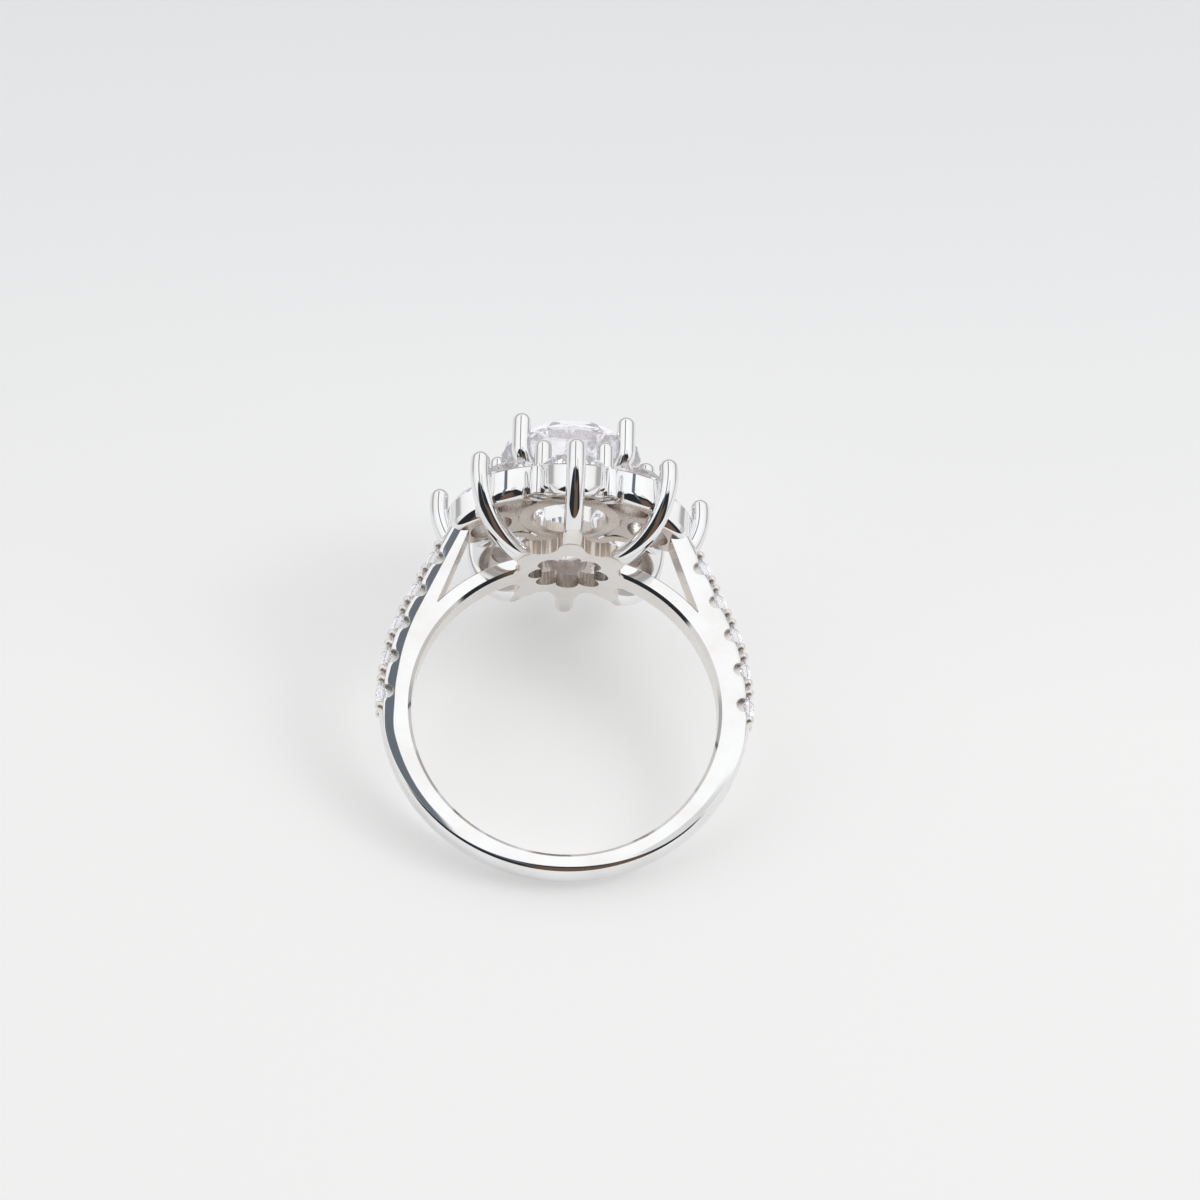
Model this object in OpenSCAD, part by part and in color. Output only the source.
/*
  Flower ring in polished white metal, lying on its side.
  A slim band with stone-set cathedral shoulders carries a scalloped base plate,
  eight curved claws, a halo of eight round petals and one raised round stone.
  Millimetres. The ring is drawn with the finger hole along z and the head along
  +y, then leaned over so that it rests on a rear claw and the palm of the band.
*/

/* [Finger hole and band] */
// radius of the finger hole
finger_r = 8.65; // [7.5:0.05:10.5]
// width of the band along the finger
band_w = 1.9; // [1.5:0.05:3]
// radius of the outer line of the palm half
palm_r = 10.5; // [9.5:0.02:11.5]
// how far the palm line sits towards the head
palm_shift = 0.58; // [0:0.02:1]
// radius of the sweep of each shoulder
shoulder_r = 13; // [11:0.25:20]
// angle at which a shoulder turns straight
shoulder_turn = 24.6; // [15:0.1:32]
// straight length of a shoulder
shoulder_run = 5.73; // [4:0.01:7]
// bevel at the rims of the finger hole
rim_bevel = 0.18; // [0.05:0.01:0.4]

/* [Base plate and claws] */
// outer radius of the base plate between two claws
plate_r = 3.25; // [2.8:0.05:4]
// radius of the plain part of the hole in the plate
plate_hole_r = 1.62; // [1:0.02:2.2]
// radius of one lobe of that hole
lobe_r = 0.64; // [0.3:0.02:0.9]
// radius of a claw wire
claw_r = 0.54; // [0.4:0.01:0.6]
// radius of the bend of an outer claw
claw_bend = 4.1; // [3.4:0.05:4.6]
// distance from the head axis to the centre of that bend
claw_centre = 3.45; // [3:0.05:4]
// height of the centre of that bend above the ring centre
claw_level = 12.55; // [12:0.05:13.5]
// turn of a claw past the upright
claw_over = 6; // [0:1:15]

/* [Halo] */
// number of petals
petals = 8; // [6:1:10]
// how far the petals lean outwards
petal_lean = 20; // [0:1:35]
// distance of the middle of a petal rim from the head axis
petal_at = 5.12; // [4.6:0.01:5.6]
// level of the middle of a petal rim
petal_level = 12.93; // [12:0.01:13.8]
// outer radius of a petal wall
petal_r = 2.02; // [1.9:0.01:2.2]
// height of a petal wall
petal_h = 1.8; // [1.2:0.05:2.4]
// diameter of a petal stone
petal_stone_d = 3.7; // [3.2:0.05:3.8]
// distance of the posts between petals from the head axis
post_at = 4.62; // [4.2:0.02:5]
// level of the tip centre of those posts
post_level = 14.4; // [13.2:0.05:15]

/* [Centre stone] */
// diameter of the centre stone
center_d = 8.1; // [7:0.05:9]
// level of its girdle
center_level = 15.8; // [15:0.05:17]
// radius of a centre claw
center_claw_r = 0.55; // [0.4:0.01:0.6]
// level of the tip centre of a centre claw
center_claw_top = 16.6; // [16:0.05:17.5]

/* [Shoulder stones] */
// stones on each shoulder
shoulder_count = 5; // [3:1:6]
// diameter of a shoulder stone
shoulder_d = 1.56; // [1.2:0.02:1.8]
// spacing along the outer line of the shoulder
shoulder_pitch = 2.23; // [1.8:0.01:2.6]
// radius of a grain of metal beside the stones
grain_r = 0.25; // [0.15:0.01:0.35]
// gap left between a stone and its seat
seat_gap = 0.03; // [0.02:0.01:0.06]

/* [Hidden] */
$fa = 5;
$fs = 0.12;
half_w = band_w / 2;
turn_step = 360 / petals;
// how far a petal stone sits below the rim of its cup
stone_sink = 0.05;
// the finger hole is cut through everything, the feet of the claws too
hole_h = 16;
// depth of the band section before the finger hole is cut, at the palm and on the shoulders
palm_depth = 2.6;
shoulder_depth = 4.2;
// how far the sweep of a shoulder goes on inside its straight part, in degrees
turn_lap = 5;
// half width of the inner branches before their ends run out in the shoulders
branch_x = 8;
branch_low = 4.2;
// round ends of the plate's arms, the cuts between them and their distance from the head axis
arm_r = 0.72;
cut_r = 0.55;
cut_at = 3.55;
// lobes of the hole in the plate lie this far out
lobe_at = 1.65;
// the flower prisms reach past the curved plate
plate_from = 7;
plate_to = 10.2;
// the two claws in line with the shoulders spring from inside their tops, at this angle of the bend
side_from = 52;
// centre claws: upper knee, lower knee and the level of the foot
knee = [4.24, 14.65];
foot = [2.58, 12.85];
foot_low = 12.1;
foot_r = 0.444;
// bore under each petal stone
bore_r = 1.25;
// flutes between the petals
flute_at = 5.3;
flute_r = 0.58;
flute_low = 11.05;
flute_h = 1.72;
// gallery ring under the petals
gallery_in = 2.1;
gallery_out = 3.02;
gallery_low = 11.9;
gallery_h = 0.75;
// posts between the petals, and the web behind each
post_r = 0.5;
web_at = 5.05;
web_r = 0.3;
web_low = 12.2;
// grains lie beside the middle line, in pairs, a little sunk in
grain_side = 0.6;
grain_pair = 0.3;
grain_sink = 0.09;
// slots beside the shoulder stones: round end, its depth, and where they stop beside the stone
notch_r = 0.42;
notch_depth = 0.46;
notch_in = 0.42;
notch_h = 0.8;
// shoulder stones lie this far below the outer line
shoulder_sink = 0.12;
// size of the lowest ring of corners of a stone
pavilion_ring = 0.24;
// outer radius of the inner branches and the base plate, and how far its centre is shifted
under_r = 9.9;
under_shift = -0.45;
// one half of the outline of the band section: distance below the outer line, offset along the finger
section = [[0.62, 0.95], [0.36, 0.86], [0.16, 0.66], [0.04, 0.36]];
// the same outline carried on past the flat sides of the band, which then trim it
section_rows = [section[0] + 1.6 * (section[0] - section[1]), section[1], section[2], section[3]];
// how far the straight part of a shoulder starts inside its sweep, and how far it lies below it
run_lap = 0.25;
run_dip = 0.01;
// the ring rests on a rear claw and on the side edge of the palm: the lean that makes both touch
rest_h = claw_level - palm_shift + palm_r - section[0][0];
rest_f = claw_centre - half_w;
lean = atan2(rest_f, rest_h) + asin((claw_bend + claw_r) / norm([rest_h, rest_f]));
// the shifts that set it on the table with its box centred
drop = (palm_r - section[0][0] - palm_shift) * sin(lean) + half_w * cos(lean);
far_end = center_claw_top * cos(lean) + knee[0] * sin(45) * sin(lean) + center_claw_r + 0.01;
near_end = (palm_shift - palm_r + section[3][0]) * cos(lean)
    - section[3][1] * half_w / section[0][1] * sin(lean);
slide = -(far_end + near_end) / 2;
metal = [0.86, 0.86, 0.87];
stone = [0.86, 0.9, 0.97];

// height of the crown, thickness of the girdle and depth of the pavilion, all per diameter
crown_part = 0.155;
girdle_part = 0.025;
pavilion_part = 0.425;
// size of the table, and of the ring of corners halfway down the crown, both per diameter
table_part = 0.56;
crown_ring = 0.80;
// level of those corners above the girdle plane
function crown_level(d) =
    girdle_part * d + crown_part * d * (1 - crown_ring * cos(22.5)) / (1 - table_part);

// place and turn along the right shoulder at a distance s from its start
function on_arc(s) = s / shoulder_r * 180 / PI;
arc_len = shoulder_r * shoulder_turn * PI / 180;
arc_x = palm_r - shoulder_r;
function arc_point(a) = [arc_x + shoulder_r * cos(a), palm_shift + shoulder_r * sin(a)];
function shoulder_angle(s) = min(on_arc(s), shoulder_turn);
function shoulder_point(s) =
    let (a = shoulder_angle(s), rest = max(0, s - arc_len))
    arc_point(a) + rest * [-sin(a), cos(a)];

function section_points(r, depth) =
    let (side = [for (p = section_rows) [r - p[0], p[1] * half_w / section[0][1]]],
        inner = [r - depth, side[0][1]])
    concat([[inner[0], -inner[1]]], [for (p = side) [p[0], -p[1]]], [[r, 0]],
        [for (i = [len(side) - 1:-1:0]) side[i]], [inner]);

// moves a child from the head frame, z up the head axis, into the ring frame
module head() { rotate([-90, 0, 0]) children(); }

// puts a child at every petal, or between the petals with a half step
module around(half = 0, step = turn_step) {
    for (k = [0:round(360 / step) - 1]) rotate([0, 0, (k + half) * step]) children();
}

// sets the whole ring down on the table
module rest() { translate([0, slide, drop]) rotate([lean, 0, 0]) children(); }

// a round brilliant, girdle plane at z = 0, table up
module brilliant(d) {
    rg = d / 2;
    rt = table_part * rg;
    rm = crown_ring * rg;
    rp = pavilion_ring * rg;
    c = crown_part * d;
    g = girdle_part * d;
    v = pavilion_part * d;
    zm = crown_level(d);
    zp = -v * (1 - rp * cos(22.5) / rg);
    points = concat(
        [for (k = [0:7]) [rt * cos(45 * k), rt * sin(45 * k), g + c]],
        [for (k = [0:7]) [rm * cos(45 * k + 22.5), rm * sin(45 * k + 22.5), zm]],
        [for (k = [0:15]) [rg * cos(22.5 * k), rg * sin(22.5 * k), g]],
        [for (k = [0:15]) [rg * cos(22.5 * k), rg * sin(22.5 * k), 0]],
        [for (k = [0:7]) [rp * cos(45 * k + 22.5), rp * sin(45 * k + 22.5), zp]],
        [[0, 0, -v]]);
    faces = concat(
        [[7, 6, 5, 4, 3, 2, 1, 0]],
        [for (k = [0:7]) [k, (k + 1) % 8, 8 + k]],
        [for (k = [0:7]) [k, 8 + k, 16 + 2 * k, 8 + (k + 7) % 8]],
        [for (k = [0:7]) [8 + k, 17 + 2 * k, 16 + 2 * k]],
        [for (k = [0:7]) [8 + k, 16 + (2 * k + 2) % 16, 17 + 2 * k]],
        [for (k = [0:15]) [16 + k, 16 + (k + 1) % 16, 32 + (k + 1) % 16, 32 + k]],
        [for (k = [0:7]) [48 + k, 32 + 2 * k, 33 + 2 * k]],
        [for (k = [0:7]) [48 + k, 33 + 2 * k, 32 + (2 * k + 2) % 16]],
        [for (k = [0:7]) [56, 48 + (k + 7) % 8, 32 + 2 * k, 48 + k]]);
    polyhedron(points, [for (f = faces) f], convexity = 4);
}

// the room cut in the metal for a stone: its outline turned, one gap larger
module stone_room(d, gap = seat_gap) {
    r = d / 2 + gap;
    c = crown_part * d;
    g = girdle_part * d;
    v = pavilion_part * d;
    rotate_extrude() polygon([[0, -v - 1.4 * gap], [r, -gap], [r, g + gap],
        [crown_ring * d / 2 + gap, crown_level(d) + gap], [table_part * d / 2 + gap, g + c + gap],
        [0, g + c + gap]]);
}

module petal_spot(k) {
    rotate([0, 0, k * turn_step]) translate([0, -petal_at, petal_level]) rotate([petal_lean, 0, 0])
        children();
}

module shoulder_spot(side, i) {
    s = (i - 1) * shoulder_pitch;
    p = shoulder_point(s);
    a = shoulder_angle(s);
    mirror([side < 0 ? 1 : 0, 0, 0])
        translate([p[0], p[1], 0]) rotate([0, 0, a]) translate([-shoulder_sink, 0, 0]) rotate([0, 90, 0])
            children();
}

// the palm half of the band and the two shoulders, before anything is cut away
module shank() {
    translate([0, palm_shift, 0]) rotate([0, 0, 180])
        rotate_extrude(angle = 180, $fn = 180) polygon(section_points(palm_r, palm_depth));
    for (m = [0, 1]) mirror([m, 0, 0]) {
        translate([arc_x, palm_shift, 0])
            rotate_extrude(angle = shoulder_turn + turn_lap, $fn = 240)
                polygon(section_points(shoulder_r, shoulder_depth));
        translate([arc_x, palm_shift, 0]) rotate([0, 0, shoulder_turn])
            translate([0, -run_lap, 0]) rotate([-90, 0, 0])
                linear_extrude(height = shoulder_run + run_lap)
                    polygon(section_points(shoulder_r - run_dip, shoulder_depth));
    }
}

// the open space between the two branches of the shoulders
module window() {
    translate([0, 0, -half_w - 1]) linear_extrude(height = band_w + 2)
        polygon([[7.45, 6.1], [5.62, 11.1], [5.2, 13], [-5.2, 13], [-5.62, 11.1], [-7.45, 6.1], [0, 3]]);
}

// the inner branches: the band carried on under the head
module inner_branches() {
    intersection() {
        translate([0, under_shift, -2]) cylinder(r = under_r, h = 4, $fn = 180);
        translate([-branch_x, branch_low, -1.5]) cube([2 * branch_x, 7, 3]);
    }
}

// the shoulders, the palm and the inner branches between two flat sides, with bevels at
// the rims of the finger hole
module band() {
    difference() {
        intersection() {
            union() {
                difference() {
                    shank();
                    window();
                }
                inner_branches();
            }
            cube([40, 40, band_w], center = true);
        }
        for (m = [0, 1]) mirror([0, 0, m]) translate([0, 0, half_w - rim_bevel])
            cylinder(r1 = finger_r, r2 = finger_r + 2 * rim_bevel, h = 2 * rim_bevel, $fn = 240);
    }
}

// the base plate: a curved flower with an arm to each claw
module plate() {
    intersection() {
        translate([0, under_shift, -5]) cylinder(r = under_r + 0.02, h = 10, $fn = 180);
        head() difference() {
            union() {
                translate([0, 0, plate_from]) cylinder(r = plate_r, h = 3, $fn = 96);
                around() translate([0, -plate_r, plate_from]) cylinder(r = arm_r, h = 3, $fn = 48);
            }
            around(0.5) translate([0, -cut_at, plate_from - 1]) cylinder(r = cut_r, h = 5, $fn = 48);
        }
    }
}

module plate_hole() {
    head() {
        translate([0, 0, plate_from])
            cylinder(r = plate_hole_r, h = plate_to - plate_from, $fn = 64);
        around() translate([0, -lobe_at, plate_from])
            cylinder(r = lobe_r, h = plate_to - plate_from, $fn = 40);
    }
}

// one outer claw at the front of the head frame, from an angle along its bend
module outer_claw(from = 0) {
    translate([0, -claw_centre, claw_level]) rotate([0, 0, -90]) rotate([90, 0, 0]) {
        rotate([0, 0, from - 90]) rotate_extrude(angle = 90 + claw_over - from, $fn = 144)
            translate([claw_bend, 0]) circle(r = claw_r, $fn = 40);
        rotate([0, 0, claw_over]) translate([claw_bend, 0, 0]) sphere(r = claw_r + 0.006, $fn = 48);
    }
}

// one claw of the centre stone: upright at the top, leaning in to the gallery below
module center_claw() {
    run = knee - foot;
    translate([0, -knee[0], knee[1]]) {
        cylinder(r = center_claw_r, h = center_claw_top - knee[1], $fn = 48);
        translate([0, 0, center_claw_top - knee[1]]) sphere(r = center_claw_r + 0.01, $fn = 48);
        sphere(r = center_claw_r + 0.006, $fn = 48);
        rotate([180 + atan2(run[0], run[1]), 0, 0]) cylinder(r = foot_r + 0.006, h = norm(run), $fn = 48);
    }
    translate([0, -foot[0], foot[1]]) sphere(r = foot_r + 0.012, $fn = 48);
    translate([0, -foot[0], foot_low]) cylinder(r = foot_r, h = foot[1] - foot_low, $fn = 48);
}

// petal cups, the flutes between them, the posts and the gallery ring
module halo() {
    difference() {
        union() {
            for (k = [0:petals - 1]) petal_spot(k)
                translate([0, 0, -petal_h]) cylinder(r = petal_r, h = petal_h, $fn = 96);
            around(0.5) translate([0, -flute_at, flute_low]) cylinder(r = flute_r, h = flute_h, $fn = 40);
            translate([0, 0, gallery_low]) cylinder(r = gallery_out, h = gallery_h, $fn = 96);
        }
        translate([0, 0, gallery_low - 1]) cylinder(r = gallery_in, h = 3, $fn = 96);
        for (k = [0:petals - 1]) petal_spot(k)
            translate([0, 0, -petal_h - 0.6]) cylinder(r = bore_r, h = petal_h + 1, $fn = 64);
    }
    around(0.5) {
        translate([0, -post_at, gallery_low]) cylinder(r = post_r, h = post_level - gallery_low, $fn = 40);
        translate([0, -post_at, post_level]) sphere(r = post_r + 0.01, $fn = 48);
        translate([0, -web_at, web_low]) cylinder(r = web_r, h = 1, $fn = 40);
    }
}

// pairs of grains between the shoulder stones and one at each end
module grains() {
    for (m = [0, 1]) mirror([m, 0, 0])
        for (i = [0:shoulder_count])
            for (z = [-grain_side, grain_side], e = [-grain_pair, grain_pair]) {
                s = (i - 0.5) * shoulder_pitch + e;
                if (s > -1 && s < (shoulder_count - 0.4) * shoulder_pitch)
                    translate([shoulder_point(s)[0], shoulder_point(s)[1], z])
                        rotate([0, 0, shoulder_angle(s)]) translate([-grain_sink, 0, 0])
                            sphere(r = grain_r, $fn = 24);
            }
}

// U-shaped slots in both edges of a shoulder, one beside each stone
module notches() {
    for (m = [0, 1]) mirror([m, 0, 0])
        for (i = [0:shoulder_count - 1], z = [-1, 1]) {
            s = i * shoulder_pitch;
            translate([shoulder_point(s)[0], shoulder_point(s)[1], z * (notch_in + notch_h / 2)])
                rotate([0, 0, shoulder_angle(s)]) {
                    translate([-notch_depth, 0, 0])
                        cylinder(r = notch_r, h = notch_h, center = true, $fn = 48);
                    translate([-notch_depth, -notch_r, -notch_h / 2])
                        cube([notch_depth + 1, 2 * notch_r, notch_h]);
                }
        }
}

// everything soldered together, with the seats cut
module setting() {
    color(metal) rest() difference() {
        union() {
            band();
            plate();
            head() {
                for (k = [0:petals - 1]) rotate([0, 0, k * turn_step])
                    outer_claw(abs(cos(k * turn_step)) < 0.01 ? side_from : 0);
                halo();
                around(0.5, 90) center_claw();
            }
            grains();
        }
        cylinder(r = finger_r, h = hole_h, center = true, $fn = 240);
        plate_hole();
        notches();
        head() {
            for (k = [0:petals - 1]) petal_spot(k) translate([0, 0, -stone_sink])
                stone_room(petal_stone_d);
            translate([0, 0, center_level]) stone_room(center_d);
        }
        for (side = [-1, 1], i = [1:shoulder_count]) shoulder_spot(side, i) stone_room(shoulder_d);
    }
}

module center_stone() { color(stone) rest() head() translate([0, 0, center_level]) brilliant(center_d); }

module petal_stone(k) {
    color(stone) rest() head() petal_spot(k - 1) translate([0, 0, -stone_sink])
        brilliant(petal_stone_d);
}

module shoulder_stone(side, i) { color(stone) rest() shoulder_spot(side, i) brilliant(shoulder_d); }

setting();
center_stone();
petal_stone(1);  // petal_stone_1
petal_stone(2);  // petal_stone_2
petal_stone(3);  // petal_stone_3
petal_stone(4);  // petal_stone_4
petal_stone(5);  // petal_stone_5
petal_stone(6);  // petal_stone_6
petal_stone(7);  // petal_stone_7
petal_stone(8);  // petal_stone_8
shoulder_stone(-1, 1);  // shoulder_stone_left_1
shoulder_stone(-1, 2);  // shoulder_stone_left_2
shoulder_stone(-1, 3);  // shoulder_stone_left_3
shoulder_stone(-1, 4);  // shoulder_stone_left_4
shoulder_stone(-1, 5);  // shoulder_stone_left_5
shoulder_stone(1, 1);  // shoulder_stone_right_1
shoulder_stone(1, 2);  // shoulder_stone_right_2
shoulder_stone(1, 3);  // shoulder_stone_right_3
shoulder_stone(1, 4);  // shoulder_stone_right_4
shoulder_stone(1, 5);  // shoulder_stone_right_5
